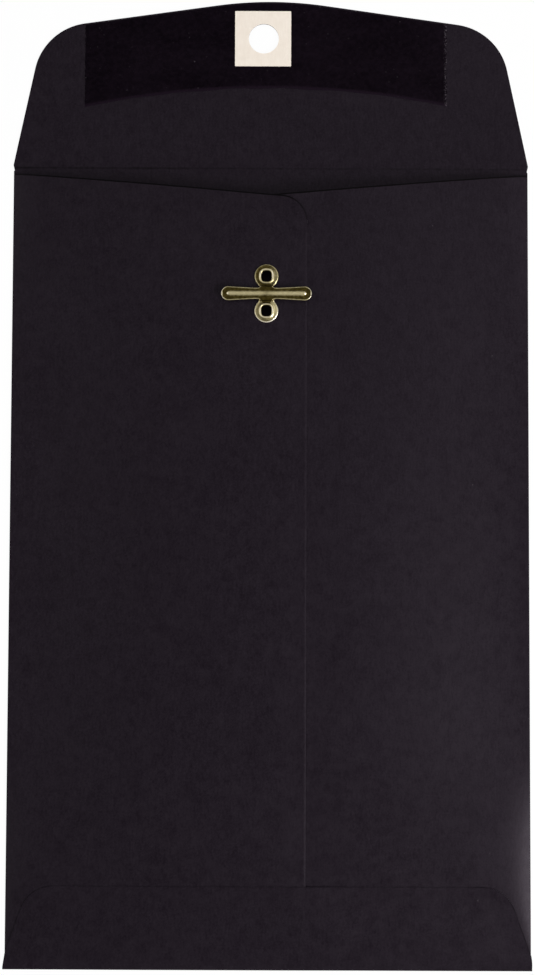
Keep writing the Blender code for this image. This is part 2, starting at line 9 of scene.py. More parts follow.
import bpy
import numpy as np
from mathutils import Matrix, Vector


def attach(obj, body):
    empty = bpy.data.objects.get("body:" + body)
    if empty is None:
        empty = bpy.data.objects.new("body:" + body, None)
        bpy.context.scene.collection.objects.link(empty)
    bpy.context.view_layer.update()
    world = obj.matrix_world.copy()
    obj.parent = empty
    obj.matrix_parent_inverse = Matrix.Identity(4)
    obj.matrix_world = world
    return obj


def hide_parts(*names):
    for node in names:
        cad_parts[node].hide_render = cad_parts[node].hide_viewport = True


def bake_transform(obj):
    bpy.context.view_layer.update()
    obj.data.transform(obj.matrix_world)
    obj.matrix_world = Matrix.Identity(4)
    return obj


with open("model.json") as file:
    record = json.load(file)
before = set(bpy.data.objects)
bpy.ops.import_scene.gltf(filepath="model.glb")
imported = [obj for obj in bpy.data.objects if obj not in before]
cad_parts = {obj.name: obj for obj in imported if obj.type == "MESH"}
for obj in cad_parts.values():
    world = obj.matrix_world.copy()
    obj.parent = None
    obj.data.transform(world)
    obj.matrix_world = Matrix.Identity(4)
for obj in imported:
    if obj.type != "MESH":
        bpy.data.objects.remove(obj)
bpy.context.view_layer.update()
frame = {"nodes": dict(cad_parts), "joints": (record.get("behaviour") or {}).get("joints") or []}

MM = 0.001
JOINTS = {joint["name"]: joint for joint in frame["joints"]}
CREASE_Y = JOINTS["flap_crease"]["pos_m"][1]
LEFT_BEND_X, CLASP_Y, BEND_Z = JOINTS["left_prong_bend"]["pos_m"]
RIGHT_BEND_X = JOINTS["right_prong_bend"]["pos_m"][0]
CLASP_X = (LEFT_BEND_X + RIGHT_BEND_X) / 2

# Paper and what lies between its leaves
PAPER = 0.20 * MM
LEAF_GAP = 0.10 * MM
FILM = 0.08 * MM
GLUED_GAP = LEAF_GAP + FILM + LEAF_GAP
OUTER_STEP = PAPER + GLUED_GAP

# The pocket
BODY_HALF = 73.95 * MM
FOLD_ROLL = PAPER / 2 + LEAF_GAP / 2  # radius of the side folds, halfway through the paper
FOLD_Z = PAPER + LEAF_GAP / 2
FOLD_X = BODY_HALF - FOLD_Z
BOTTOM_Y = CREASE_Y - 228.6 * MM
BOTTOM_STACK = PAPER + LEAF_GAP + PAPER + OUTER_STEP + GLUED_GAP + PAPER
PANEL_BOTTOM = BOTTOM_Y + BOTTOM_STACK / 2 + 0.3 * MM
POCKET_HEIGHT = 4.7 * MM
POCKET_RISE = 90 * MM
MIDDLE_FLATNESS = 3
SIDE_FLATNESS = 2.2
CORNER_FULLNESS = 0.60
CORNER_UP = 25.5 * MM
CORNER_SPAN = 27 * MM
CORNER_SLOPE = 0.75
CORNER_POWER = 45
MOUTH_FULLNESS = 0.45
MOUTH_SPAN = 40 * MM
MOUTH_POWER = 16
STEP_RUN = 45 * MM

# Front panels
THROAT_DEPTH = 9.1 * MM
THROAT_SIDE = 2.5 * MM
SEAM_REACH = 10.5 * MM
SEAM_CORNER = 7.0 * MM
SINK_FROM = 3 * MM  # the outer panel sinks from here to the strip along its seam edge, which dips
SEAM_SINK = 0.15 * MM
SEAM_STRIP = 0.5 * MM
SEAM_DIP = 0.10 * MM
LIFT_FROM = -6 * MM  # from here to the seam its corner stands off the inner panel, above the glue
SEAM_LIFT = 0.30 * MM
GLUE_THINS, GLUE_ENDS = 24 * MM, 14 * MM  # crease to where the seam's glue thins out and ends
THROAT_LINE = 0.20 * MM, 0.60 * MM  # distance in from the throat's edge over which its painted shade line fades
SEAM_LINE_FROM = 2 * MM  # the painted shade line weakens from here to the seam
STRAIGHT_ROWS_TOP = 70 * MM  # below this the sheet's rows run straight across

# Bottom flap
BOTTOM_FLAP = 23.5 * MM
BOTTOM_FLAP_SPURS = 0.65 * MM, 0.6 * MM  # left, and right where it is rounded off
BOTTOM_FLAP_SHANK = 4.4 * MM
BOTTOM_FLAP_TAPER = 0.366
BOTTOM_FLAP_CORNER = 10 * MM
BOTTOM_FLAP_LEVEL = 1 * MM, 6 * MM  # how far in from its left and right sides it stays level
BOTTOM_FLAP_GAP = 0.04 * MM  # room left under it along its sides and its top
BOTTOM_FLAP_CLOSES = 14 * MM, 10 * MM  # runs over which the room closes to its sides and its top
BOTTOM_FLAP_PRESS = 0.09 * MM  # how far its top edge and its left side are pressed into the front
BOTTOM_FLAP_PRESS_RUN = 3 * MM
BOTTOM_FLAP_SETTLES = 5 * MM  # run above the fold over which both begin
BRIDGE_FROM, BRIDGE_TO = 2 * MM, 28 * MM  # where it comes down from the outer panel to the inner one
BOTTOM_FLAP_LINE = 0.1 * MM, 0.4 * MM  # distance in from its edge over which its painted shade line fades
BOTTOM_LINE_STARTS = -68 * MM, -58 * MM  # X over which that line comes in at the left
BOTTOM_LINE_GROWS = 58 * MM, 70 * MM  # X over which it gets stronger at the right
BOTTOM_GLUE_HALF = 56 * MM
BOTTOM_GLUE_FROM, BOTTOM_GLUE_TO = 5 * MM, 19 * MM

# Closing flap, its gum and its patch
FLAP_LENGTH = 48.2 * MM
FLAP_HALF = BODY_HALF + 0.15 * MM
FLAP_SHOULDER_HALF = BODY_HALF - 8.25 * MM
FLAP_SHOULDER_RADIUS = 17 * MM
FLAP_TOP_SLOPE = math.radians(8.06)
FLAP_TIP_RADIUS = 110 * MM
FLAP_START = CREASE_Y - 1.2 * MM  # where the sheet of the flap takes over from the back
CREASE_LIFT = 0.2 * MM  # how far the once folded flap stands off the table
CREASE_LIFT_RUN = 4 * MM
SCORE_Y = CREASE_Y - 0.65 * MM  # the crease's line of painted shade, which weakens from left to right
SCORE_WIDTH = 0.45 * MM
SCORE_WEAKENS = -40 * MM, 60 * MM
FLAP_INSETS = 0.12 * MM, 0.10 * MM  # how far it is drawn in below the crease, first where it starts
FLAP_WIDENS = CREASE_Y - 0.9 * MM, CREASE_Y + 0.1 * MM
HOLE_RADIUS = 4.34 * MM
HOLE = np.array([CLASP_X - 1.05 * MM, CREASE_Y + FLAP_LENGTH - 10.9 * MM])
PATCH_HALF = 8.1 * MM
PATCH_X = HOLE[0] - 0.2 * MM
PATCH_CORNER = 0.2 * MM
PATCH_THICKNESS = 0.15 * MM
PATCH_Z = PAPER + 0.03 * MM + FILM + PATCH_THICKNESS / 2  # above the table, halfway through it
GUM_HALF = BODY_HALF - 21.75 * MM
GUM_X = -1.5 * MM
GUM_DEPTH = 25.4 * MM
GUM_ARCH_RADIUS = 255 * MM
GUM_INSET = 0.5 * MM  # bare margin along the flap's edge
GUM_WAVE = 0.10 * MM
GUM_RAGGED = 0.16 * MM
GUM_BROKEN = 0.9 * MM, 0.1 * MM  # distance in from its right end over which it breaks up
GUM_THIN = 1.6 * MM  # strip along the arch that is thin
GUM_Z = PAPER + 0.02 * MM + FILM / 2

# Clasp
BRASS = 0.35 * MM
BEAD_HEIGHT = 0.30 * MM
BEAD_HALF = 1.05 * MM
BEAD_SHARE = 0.7  # largest share of the bar's width that the bead takes
BEAD_REACH = 11.5 * MM
BEAD_POINT = 1.3 * MM  # run over which the bead narrows to its end
BEAD_END = 0.65 * MM  # run over which it comes down
ARM_REACH = 12.85 * MM
ARM_WAIST = 1.4 * MM  # half widths
ARM_END = 2.0 * MM
ARM_RIM = 0.16 * MM
ARM_FLAT = 0.84  # thickness inside the rim, as a share of the sheet's
ARM_Z = BEND_Z - BEAD_HEIGHT - BRASS
EYELET_RADIUS = 3.4 * MM
EYELET_OUT = 4.95 * MM  # clasp centre to an eyelet's centre
EYELET_UP = 0.2 * MM  # how far both sit above the middle of the bar
LIP_RADIUS = 2.03 * MM
BARREL_RADIUS = 1.72 * MM
BORE_RADIUS = 1.47 * MM
BARREL_SQUARENESS = 3
BARREL_TALLNESS = 0.07  # how much longer the squared barrel is than wide
ROUND_FROM = 2.7 * MM  # radius from which the eyelet's section is round again
CLINCH_RADIUS = 2.66 * MM
BARREL_HOLE = 2.13 * MM  # half width of the holes in the paper
NECK_HALF = 1.85 * MM
NECK_TOP = 1.8 * MM  # clasp centre to where the necks come up to the bar
NECK_FOOT = 2.3 * MM
NECK_FILLET = 0.35 * MM
NECK_OVERLAP = 0.08 * MM  # how far the necks run in under the bar
NECK_DROP = 0.06 * MM  # how far their tops are set down to do so

# Camera, as the photograph's corners give it
CAMERA_PLACE = -0.00088, -0.04505, 0.61659
CAMERA_TURN = 3.947, -0.043, 0.223  # degrees about X, Y and Z
CAMERA_LENS = 80


def smoothstep(low, high, value):
    """0 below low, 1 above high, with level ends."""
    share = np.clip((value - low) / (high - low), 0, 1)
    return share * share * (3 - 2 * share)


def pocket_depth(x, y):
    """Gap between back and front: a cubic climb from the bottom fold, times a curve that comes down flat to
    the side folds, mixed above the bottom corners and at the mouth with powers that roll over close to
    them."""
    out = np.minimum(np.abs(x) / FOLD_X, 1)
    corner = CORNER_FULLNESS * np.exp(-(((y - BOTTOM_Y - CORNER_UP) / CORNER_SPAN) ** 2))
    mouth = MOUTH_FULLNESS * np.exp(-(((CREASE_Y - y) / MOUTH_SPAN) ** 2))
    climb = np.clip((y - BOTTOM_Y - BOTTOM_STACK) / POCKET_RISE, 0, 1)
    height = POCKET_HEIGHT * (1 - (1 - climb) ** 3)
    power = np.minimum(CORNER_SLOPE * FOLD_X / np.maximum(height, PAPER), CORNER_POWER)
    flat = (1 - out**MIDDLE_FLATNESS) ** SIDE_FLATNESS
    rolled = corner * (1 - out**power) + mouth * (1 - out**MOUTH_POWER)
    return height * ((1 - corner - mouth) * flat + rolled)


def outer_step(x):
    """Smooth climb of the outer front panel onto the inner one, from the side fold towards the middle."""
    climb = np.clip((FOLD_X - np.abs(x)) / STEP_RUN, 0, 1)
    return OUTER_STEP * climb * climb * (3 - 2 * climb)


def inner_mid(x, y):
    """Height halfway through the inner front panel."""
    return PAPER + LEAF_GAP + pocket_depth(x, y) + PAPER / 2


def outer_mid(x, y):
    """Height halfway through the outer front panel: up on the glue, sinking past it and dipping along its
    seam edge, and lifting off the inner panel above the glue's upper end."""
    up = inner_mid(x, y) + np.where(x < 0, outer_step(x), OUTER_STEP)
    sinking = SEAM_SINK * smoothstep(SINK_FROM, SEAM_REACH - SEAM_STRIP, x)
    dip = SEAM_DIP * smoothstep(SEAM_REACH - SEAM_STRIP, SEAM_REACH, x)
    glued = 1 - smoothstep(CREASE_Y - GLUE_THINS, CREASE_Y - GLUE_ENDS, y)
    loose = SEAM_LIFT * (1 - glued) * smoothstep(LIFT_FROM, SEAM_REACH, x)
    return up - (sinking + dip) * glued + loose


FRONT_AT_CLASP = float(outer_mid(CLASP_X, CLASP_Y)) + PAPER / 2
EYELET_Z = FRONT_AT_CLASP + LEAF_GAP


# Meshes from grids of points


def add_piece(name, points, faces, material, sharp=35):
    """A smooth-shaded mesh object with its rest place kept as an attribute for the finishes."""
    mesh = bpy.data.meshes.new(name)
    mesh.from_pydata(points.tolist(), [], faces)
    rest = mesh.attributes.new("rest", "FLOAT_VECTOR", "POINT")
    rest.data.foreach_set("vector", points.astype(np.float32).ravel())
    mesh.shade_smooth()
    if sharp:
        mesh.set_sharp_from_angle(angle=math.radians(sharp))
    mesh.materials.append(material)
    piece = bpy.data.objects.new(name, mesh)
    bpy.context.scene.collection.objects.link(piece)
    return piece


def add_mask(piece, name, values, domain):
    """A number on each point or face, which the finishes read."""
    mask = piece.data.attributes.new(name, "FLOAT", domain)
    mask.data.foreach_set("value", np.asarray(values, np.float32))


def grid_faces(rows, columns, ring_rows=False, ring_columns=False):
    """Quads of a grid numbered row by row; a ring runs on from its last line to its first."""
    r = np.arange(rows if ring_rows else rows - 1)[:, None]
    c = np.arange(columns if ring_columns else columns - 1)[None, :]
    r2, c2 = (r + 1) % rows, (c + 1) % columns
    corners = [r * columns + c, r * columns + c2, r2 * columns + c2, r2 * columns + c]
    return np.stack(np.broadcast_arrays(*corners), -1)


def grid_normals(grid, ring):
    """Unit normals from the cross product of the differences along columns and rows."""
    if ring:
        along = np.roll(grid, -1, 1) - np.roll(grid, 1, 1)
    else:
        along = np.gradient(grid, axis=1)
    normal = np.cross(along, np.gradient(grid, axis=0))
    return normal / np.linalg.norm(normal, axis=-1, keepdims=True)


def add_leaf(name, grid, thickness, material, keep=None, ring=False, pale=1.0):
    """A leaf of even thickness about a mid surface: two offset skins, with walls along each open edge."""
    rows, columns = grid.shape[:2]
    count = rows * columns
    offset = grid_normals(grid, ring) * thickness / 2
    points = np.concatenate([(grid + offset).reshape(-1, 3), (grid - offset).reshape(-1, 3)])
    top = grid_faces(rows, columns, ring_columns=ring)
    top = top[keep] if keep is not None else top.reshape(-1, 4)
    start, end = top.ravel(), np.roll(top, -1, 1).ravel()
    edge = ~np.isin(start * count + end, end * count + start)
    start, end = start[edge], end[edge]
    walls = np.stack([end, start, start + count, end + count], -1)
    faces = np.concatenate([top, top[:, ::-1] + count, walls])
    piece = add_piece(name, points, faces.tolist(), material)
    cut = np.zeros(len(faces))
    cut[len(faces) - len(walls):] = pale
    add_mask(piece, "cut_edge", cut, "FACE")
    return piece


def rounded(corners, steps):
    """A closed outline through (x, y, radius) corners, each turned into an arc between its tangent points."""
    outline = []
    for k, (x, y, radius) in enumerate(corners):
        here = np.array([x, y])
        if radius == 0:
            outline.append(here[None])
            continue
        back = np.array(corners[k - 1][:2]) - here
        ahead = np.array(corners[(k + 1) % len(corners)][:2]) - here
        back, ahead = back / np.linalg.norm(back), ahead / np.linalg.norm(ahead)
        half = math.acos(back @ ahead) / 2
        centre = here + (back + ahead) / np.linalg.norm(back + ahead) * radius / math.sin(half)
        start = here + back * radius / math.tan(half) - centre
        end = here + ahead * radius / math.tan(half) - centre
        turn = math.pi - 2 * half
        share = np.linspace(0, turn, steps + 1)[:, None]
        outline.append(centre + (np.sin(turn - share) * start + np.sin(share) * end) / math.sin(turn))
    return np.concatenate(outline)


def filled(outline, spacing):
    """The outline with points added so that none lie further apart than spacing, and its corners kept."""
    ahead = np.roll(outline, -1, 0)
    counts = np.maximum(1, np.ceil(np.linalg.norm(ahead - outline, axis=1) / spacing)).astype(int)
    which = np.repeat(np.arange(len(outline)), counts)
    first = np.cumsum(counts) - counts
    share = ((np.arange(len(which)) - first[which]) / counts[which])[:, None]
    return outline[which] * (1 - share) + ahead[which] * share


def ring_about_hole(outline, stations):
    """Grid between the round hole and an outline: each ray runs from the hole's rim to one outline point."""
    away = outline - HOLE
    rim = HOLE + HOLE_RADIUS * away / np.linalg.norm(away, axis=1, keepdims=True)
    share = np.asarray(stations)[:, None, None]
    return rim * (1 - share) + outline * share


# Finishes


class Val:
    """A number on a surface; arithmetic on it adds Math nodes to its finish."""

    def __init__(self, finish, socket):
        self.finish = finish
        self.socket = socket

    def math(self, operation, *values):
        """One Math node."""
        return self.finish.make("ShaderNodeMath", {"operation": operation}, dict(enumerate(values)))

    def __add__(self, other):
        return self.math("ADD", self, other)

    __radd__ = __add__

    def __sub__(self, other):
        return self.math("SUBTRACT", self, other)

    def __rsub__(self, other):
        return self.math("SUBTRACT", other, self)

    def __mul__(self, other):
        return self.math("MULTIPLY", self, other)

    __rmul__ = __mul__

    def between(self, low, high):
        """0 at low, 1 at high, clamped, with level ends."""
        inputs = {"Value": self, "From Min": low, "From Max": high}
        return self.finish.make("ShaderNodeMapRange", {"interpolation_type": "SMOOTHSTEP"}, inputs)


class Finish:
    """A material whose nodes are written as expressions."""

    def __init__(self, name, **uniform):
        self.material = bpy.data.materials.new(name)
        self.material.use_nodes = True
        self.tree = self.material.node_tree
        self.shader = self.tree.nodes["Principled BSDF"]
        for socket, value in uniform.items():
            self.shader.inputs[socket.replace("_", " ")].default_value = value

    def make(self, kind, settings=None, inputs=None, out=0):
        """One node: its settings first, then numbers or links on its sockets; gives one of its outputs."""
        node = self.tree.nodes.new(kind)
        for name, value in (settings or {}).items():
            setattr(node, name, value)
        for name, value in (inputs or {}).items():
            self.put(node.inputs[name], value)
        return Val(self, node.outputs[out])

    def put(self, socket, value):
        """A link or a plain number on a socket."""
        if isinstance(value, Val):
            self.tree.links.new(value.socket, socket)
        else:
            socket.default_value = value

    def place(self):
        """Where a point of the piece was at rest, so that the pattern stays on the paper as it folds."""
        return self.make("ShaderNodeAttribute", {"attribute_name": "rest"}, out="Vector")

    def here(self):
        """The place on a piece that doesn't bend."""
        return self.make("ShaderNodeTexCoord", out="Object")

    def mask(self, name):
        """A number that the piece's points or faces carry."""
        return self.make("ShaderNodeAttribute", {"attribute_name": name}, out="Fac")

    def noise(self, where, size, detail=2.0, roughness=0.5):
        """Cloudy noise about 0.5, with features of this size in metres."""
        inputs = {"Vector": where, "Scale": 1 / size, "Detail": detail, "Roughness": roughness}
        return self.make("ShaderNodeTexNoise", None, inputs)

    def stretched(self, where, x, y, z):
        """The place drawn out along an axis, for fibres and drawn metal."""
        return self.make("ShaderNodeMapping", None, {"Vector": where, "Scale": (x, y, z)})

    def mix(self, factor, one, two):
        """From colour one to colour two as factor goes from 0 to 1."""
        settings = {"data_type": "RGBA", "clamp_factor": True}
        colours = [value if isinstance(value, Val) else (*value, 1) for value in (one, two)]
        inputs = {0: factor, 6: colours[0], 7: colours[1]}
        return self.make("ShaderNodeMix", settings, inputs, out=2)

    def bump(self, height, strength, distance):
        """Fine relief for the light only."""
        inputs = {"Height": height, "Strength": strength, "Distance": distance}
        return self.make("ShaderNodeBump", None, inputs)

    def set(self, **sockets):
        """Puts values on the shader and gives the finished material."""
        for socket, value in sockets.items():
            self.put(self.shader.inputs[socket.replace("_", " ")], value)
        return self.material


def black_paper():
    """Dyed paper: purplish black, cloudy in its pulp, with fine fibres, rare pale specks, paler cut edges,
    and painted shade: dark lines along its throat's edge, its bottom flap's edge and its crease."""
    dark, light = (0.0030, 0.0011, 0.0035), (0.0103, 0.0072, 0.0112)
    white_fibre, bare_edge = (0.07, 0.062, 0.07), (0.034, 0.028, 0.035)
    painted_shade_colour = (0.0005, 0.0003, 0.0006)
    look = Finish("black_paper", Specular_IOR_Level=0.15, Specular_Tint=(1, 0.88, 1, 1))
    place = look.place()
    grain = look.noise(place, 0.5 * MM, 4, 0.7)
    fibre = look.noise(look.stretched(place, 1.0, 0.3, 1.0), 0.6 * MM, 3, 0.6)
    pulp = look.noise(place, 3.5 * MM, 3, 0.6)
    cloud = look.noise(place, 26 * MM, 2)
    tone = 0.5 + 2.3 * (grain - 0.5) + 1.4 * (fibre - 0.5) + 0.8 * (pulp - 0.5) + 0.4 * (cloud - 0.5)
    colour = look.mix(tone, dark, light)
    speck = look.noise(place, 1.0 * MM, 2).between(0.80, 0.83)
    colour = look.mix(0.6 * speck, colour, white_fibre)
    colour = look.mix(look.mask("cut_edge") * 0.8, colour, bare_edge)
    # painted shade: the pressed mask draws thin dark lines where edges and the crease would lie in shade
    line = (look.mask("pressed") + 0.8 * (pulp - 0.5)).between(0.1, 0.8)
    colour = look.mix(line, colour, painted_shade_colour)
    surface = look.bump(grain + 0.6 * fibre, 0.4, 0.05 * MM)
    roughness = 0.46 + 0.3 * (pulp - 0.5)
    # the little metal in the painted shade lines takes the sheen off them, so they stay dark
    return look.set(Base_Color=colour, Roughness=roughness, Metallic=0.5 * line, Normal=surface)


def dried_gum():
    """Dry gum: near black and a little glossy, with a fine crust, thin along its lower edge, dusty, and with
    pale crumbs where its end is broken."""
    dark, light = (0.0006, 0.0002, 0.0008), (0.0050, 0.0029, 0.0053)
    thin_film, crumb = (0.0080, 0.0046, 0.0086), (0.085, 0.072, 0.085)
    look = Finish("dried_gum", Specular_IOR_Level=0.05, Specular_Tint=(1, 0.72, 1, 1))
    place = look.here()
    bubbles = look.noise(place, 0.7 * MM, 3)
    flow = look.noise(look.stretched(place, 0.4, 1, 1), 9 * MM, 3)
    crust = look.noise(place, 1.1 * MM, 4, 0.7)
    tone = 0.4 * flow.between(0.3, 0.75) + 0.6 * crust.between(0.36, 0.70)
    colour = look.mix(tone, dark, light)
    thin = look.mask("thin_edge") + 0.5 * (bubbles - 0.5)
    colour = look.mix(thin.between(0.2, 1.0), colour, thin_film)
    crumbs = look.noise(place, 0.5 * MM, 2).between(0.48, 0.60) * look.mask("broken_edge")
    dust = look.noise(place, 0.7 * MM, 1).between(0.77, 0.81)
    colour = look.mix(0.7 * crumbs + 0.5 * dust, colour, crumb)
    surface = look.bump(bubbles, 0.25, 0.03 * MM)
    return look.set(Base_Color=colour, Roughness=0.42 + 0.2 * (flow - 0.5), Normal=surface)


def cream_card():
    """Unbleached paper card: warm cream with long soft fibres and a slightly darker punched rim."""
    dark, light, rim = (0.83, 0.735, 0.635), (0.95, 0.87, 0.775), (0.62, 0.54, 0.45)
    look = Finish("cream_card", Specular_IOR_Level=0.25)
    place = look.here()
    fibre = look.noise(look.stretched(place, 1.0, 0.2, 1.0), 0.5 * MM, 4, 0.6)
    pulp = look.noise(place, 2.2 * MM, 3)
    tone = 0.5 + 0.8 * (fibre - 0.5) + 0.7 * (pulp - 0.5)
    colour = look.mix(tone, dark, light)
    colour = look.mix(look.mask("cut_edge") * 0.5, colour, rim)
    surface = look.bump(fibre + pulp, 0.3, 0.06 * MM)
    return look.set(Base_Color=colour, Roughness=0.85 + 0.1 * (fibre - 0.5), Normal=surface)


def antique_brass():
    """Antiqued brass: dark olive lacquer in the low places, rubbed bright on the bead, rims and lips, with
    painted highlight and shade carried in the same mask.
    """
    lacquer, thin_lacquer = (0.038, 0.027, 0.0055), (0.080, 0.060, 0.0145)
    bare, polish_and_highlight = (0.70, 0.607, 0.34), (0.98, 0.90, 0.75)
    look = Finish("antique_brass", Metallic=1.0)
    place = look.here()
    drawn = look.noise(look.stretched(place, 0.2, 1, 1), 0.22 * MM, 3)
    patch = look.noise(place, 0.9 * MM, 3, 0.6)
    # the mask holds rubbed wear and painted highlight and shade alike
    rubbed = look.mask("rubbed") + 0.4 * (patch - 0.5) + 0.3 * (drawn - 0.5)
    bright = rubbed.between(0.05, 1.0)
    dark = look.mix(patch.between(0.3, 0.7), lacquer, thin_lacquer)
    colour = look.mix(bright, dark, bare)
    # the palest colour goes where the wear is deepest and where the painted highlights are strongest
    colour = look.mix(rubbed.between(0.9, 1.5), colour, polish_and_highlight)
    surface = look.bump(drawn + patch, 0.12, 0.02 * MM)
    return look.set(Base_Color=colour, Roughness=0.42 - 0.09 * bright, Normal=surface)


def clear_glue():
    """Set glue: amber grey with soft streaks."""
    dark, light = (0.30, 0.26, 0.20), (0.62, 0.56, 0.46)
    look = Finish("clear_glue")
    place = look.here()
    streaks = look.noise(look.stretched(place, 0.3, 1, 1), 3 * MM, 3)
    colour = look.mix(streaks, dark, light)
    return look.set(Base_Color=colour, Roughness=0.35 + 0.3 * streaks)


# Paper pieces


def throat_edge(out):
    """Top edge of a front panel: a straight slope to the middle, less a quarter circle at the seam corner."""
    slope = (THROAT_DEPTH - THROAT_SIDE) / FOLD_X
    past = np.clip(SEAM_CORNER - SEAM_REACH - out, 0, SEAM_CORNER)
    return CREASE_Y - THROAT_DEPTH + slope * out - SEAM_CORNER + np.sqrt(SEAM_CORNER**2 - past**2)


def inside_throat(kind, x, y):
    """Distance in from a front panel's top edge and its round seam corner."""
    out = np.where(kind == 0, -x, x)
    line = CREASE_Y - THROAT_DEPTH + (THROAT_DEPTH - THROAT_SIDE) / FOLD_X * out
    past, above = SEAM_CORNER - SEAM_REACH - out, y - line + SEAM_CORNER
    corner = SEAM_CORNER - np.hypot(past, above)
    return np.where((past > 0) & (above > 0), corner, line - y)


def crowded(start, end, count):
    """Values from start to end, closer together at the end, without the end itself."""
    return start + (end - start) * np.sin(np.linspace(0, math.pi / 2, count + 1))[:-1]


BLOCK = np.arange(-8, 9) / 4 * BARREL_HOLE  # grid lines about a barrel hole


def blank_columns():
    """(x, kind, z) round the folded blank: outer front 0, left fold 1, back 2, right fold 3, inner front 4.
    The fronts' heights come later."""
    near = CLASP_X + BLOCK
    corner = SEAM_REACH - SEAM_CORNER * (1 - np.cos(np.linspace(0, math.pi / 2, 14)))[:-1]
    outer = np.concatenate([corner, near[::-1], crowded(near[0], -FOLD_X, 56)[1:]])
    turn = np.linspace(math.pi / 2, 3 * math.pi / 2, 9)
    left = -FOLD_X + FOLD_ROLL * np.cos(turn)
    back = np.linspace(-FOLD_X, FOLD_X, 60)[1:-1]
    overlap = np.linspace(-SEAM_REACH, near[0], 8)[:-1]
    inner = np.concatenate([overlap, near, crowded(near[-1], FOLD_X, 56)[1:]])
    runs = [outer, left, back, -left[::-1], inner[::-1]]
    kind = np.repeat(np.arange(5), [len(run) for run in runs])
    fold_z = FOLD_Z + FOLD_ROLL * np.sin(turn)
    flat = np.full_like(back, PAPER / 2)
    z = np.concatenate([np.zeros_like(outer), fold_z, flat, fold_z[::-1], np.zeros_like(inner)])
    return np.concatenate(runs), kind, z


def blank_rows():
    """Y of the rows that run straight across, with grid lines about both barrel holes."""
    low, high = CLASP_Y - EYELET_OUT, CLASP_Y + EYELET_OUT
    start = PANEL_BOTTOM + (low + BLOCK[0] - PANEL_BOTTOM) * np.linspace(0, 1, 90)[:-1] ** 1.3
    between = [CLASP_Y]
    rest = np.linspace(high + BLOCK[-1], STRAIGHT_ROWS_TOP, 7)[1:]
    return np.concatenate([start, low + BLOCK, between, high + BLOCK, rest])


def round_holes(x, y):
    """Draws the square block of lines about each barrel into a circle, fading out at twice its size."""
    inside = np.zeros(x.shape, bool)
    for centre_y in (CLASP_Y - EYELET_OUT, CLASP_Y + EYELET_OUT):
        dx, dy = x - CLASP_X, y - centre_y
        square = np.maximum(np.abs(dx), np.abs(dy))
        reach = np.maximum(np.hypot(dx, dy), 1e-9)
        pull = 1 + (square / reach - 1) * (1 - smoothstep(BARREL_HOLE, 2 * BARREL_HOLE, square))
        x, y = CLASP_X + dx * pull, centre_y + dy * pull
        inside |= square < BARREL_HOLE * 1.001
    return x, y, inside


def make_blank(paper):
    """The folded tube of the envelope as one leaf: a profile round the folds, carried from the bottom to its
    top edge."""
    x, kind, fold_z = blank_columns()
    front = (kind == 0) | (kind == 4)
    out = np.where(kind == 0, -x, x)
    top = np.where(front, throat_edge(np.minimum(out, FOLD_X)), FLAP_START)
    corner = CREASE_Y - THROAT_SIDE + (FLAP_START - CREASE_Y + THROAT_SIDE) * np.linspace(0, 1, 9)
    top[kind == 1] = corner
    top[kind == 3] = corner[::-1]
    rows = blank_rows()
    near_edge = np.array([70, 45, 30, 20, 13, 6, 0]) * 0.001  # close rows for the painted shade line
    share = np.concatenate([np.linspace(0, 0.9, 16)[1:], 1 - near_edge])[:, None]
    y = np.concatenate([np.repeat(rows[:, None], len(x), 1), rows[-1] + (top - rows[-1]) * share])
    x = np.broadcast_to(x, y.shape)
    bent_x, bent_y, hole = round_holes(x, y)
    x, y = np.where(front, bent_x, x), np.where(front, bent_y, y)
    hole &= front
    z = np.where(kind == 0, outer_mid(x, y), np.where(kind == 4, inner_mid(x, y), fold_z))
    grid = np.stack([x, y, z], -1)
    keep = ~(hole[:-1, :-1] & hole[1:, :-1] & hole[:-1, 1:] & hole[1:, 1:])
    # the profile runs leftwards over the front, so the rows are turned to make its normals point out
    piece = add_leaf("paper_body", grid[::-1], PAPER, paper, keep[::-1])
    # painted shade: a dark line along the front panels' top edges and round the seam corner, weaker towards
    # the seam
    amount = np.where(kind == 0, 1 - 0.5 * smoothstep(SEAM_LINE_FROM, SEAM_REACH, x), front)
    pressed = amount * (1 - smoothstep(*THROAT_LINE, inside_throat(kind, x, y)))
    pressed = pressed[::-1].ravel()
    add_mask(piece, "pressed", np.concatenate([pressed, 0 * pressed]), "POINT")
    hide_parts("back_panel", "left_front_panel", "right_front_panel")
    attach(piece, "envelope")


def bottom_flap_side():
    """(height above the bottom fold, half width) up the bottom flap's side: a shank, a taper and a round
    corner."""
    lean = math.atan(BOTTOM_FLAP_TAPER)
    meet = BODY_HALF - BOTTOM_FLAP_TAPER * (BOTTOM_FLAP - BOTTOM_FLAP_SHANK)
    angles = np.linspace(lean, math.pi / 2, 24)
    up = BOTTOM_FLAP - BOTTOM_FLAP_CORNER * (1 - np.sin(angles))
    wide = meet - BOTTOM_FLAP_CORNER * (math.tan((math.pi / 2 - lean) / 2) - np.cos(angles))
    shank = np.linspace(BOTTOM_STACK / 2, BOTTOM_FLAP_SHANK, 9)
    straight = np.concatenate([shank, np.linspace(BOTTOM_FLAP_SHANK, up[0], 16)[1:-1]])
    drawn_in = BOTTOM_FLAP_TAPER * np.maximum(straight - BOTTOM_FLAP_SHANK, 0)
    return np.concatenate([straight, up]), np.concatenate([BODY_HALF - drawn_in, wide])


def bottom_flap_spur(share, up):
    """How far the bottom flap's sides stand out above the fold: a straight flare on the left, a bulge on the
    right."""
    low = np.clip(1 - up / BOTTOM_FLAP_SHANK, 0, 1)
    left, right = BOTTOM_FLAP_SPURS
    return np.where(share < 0, left * low, right * low * (1.6 - 1.3 * low))


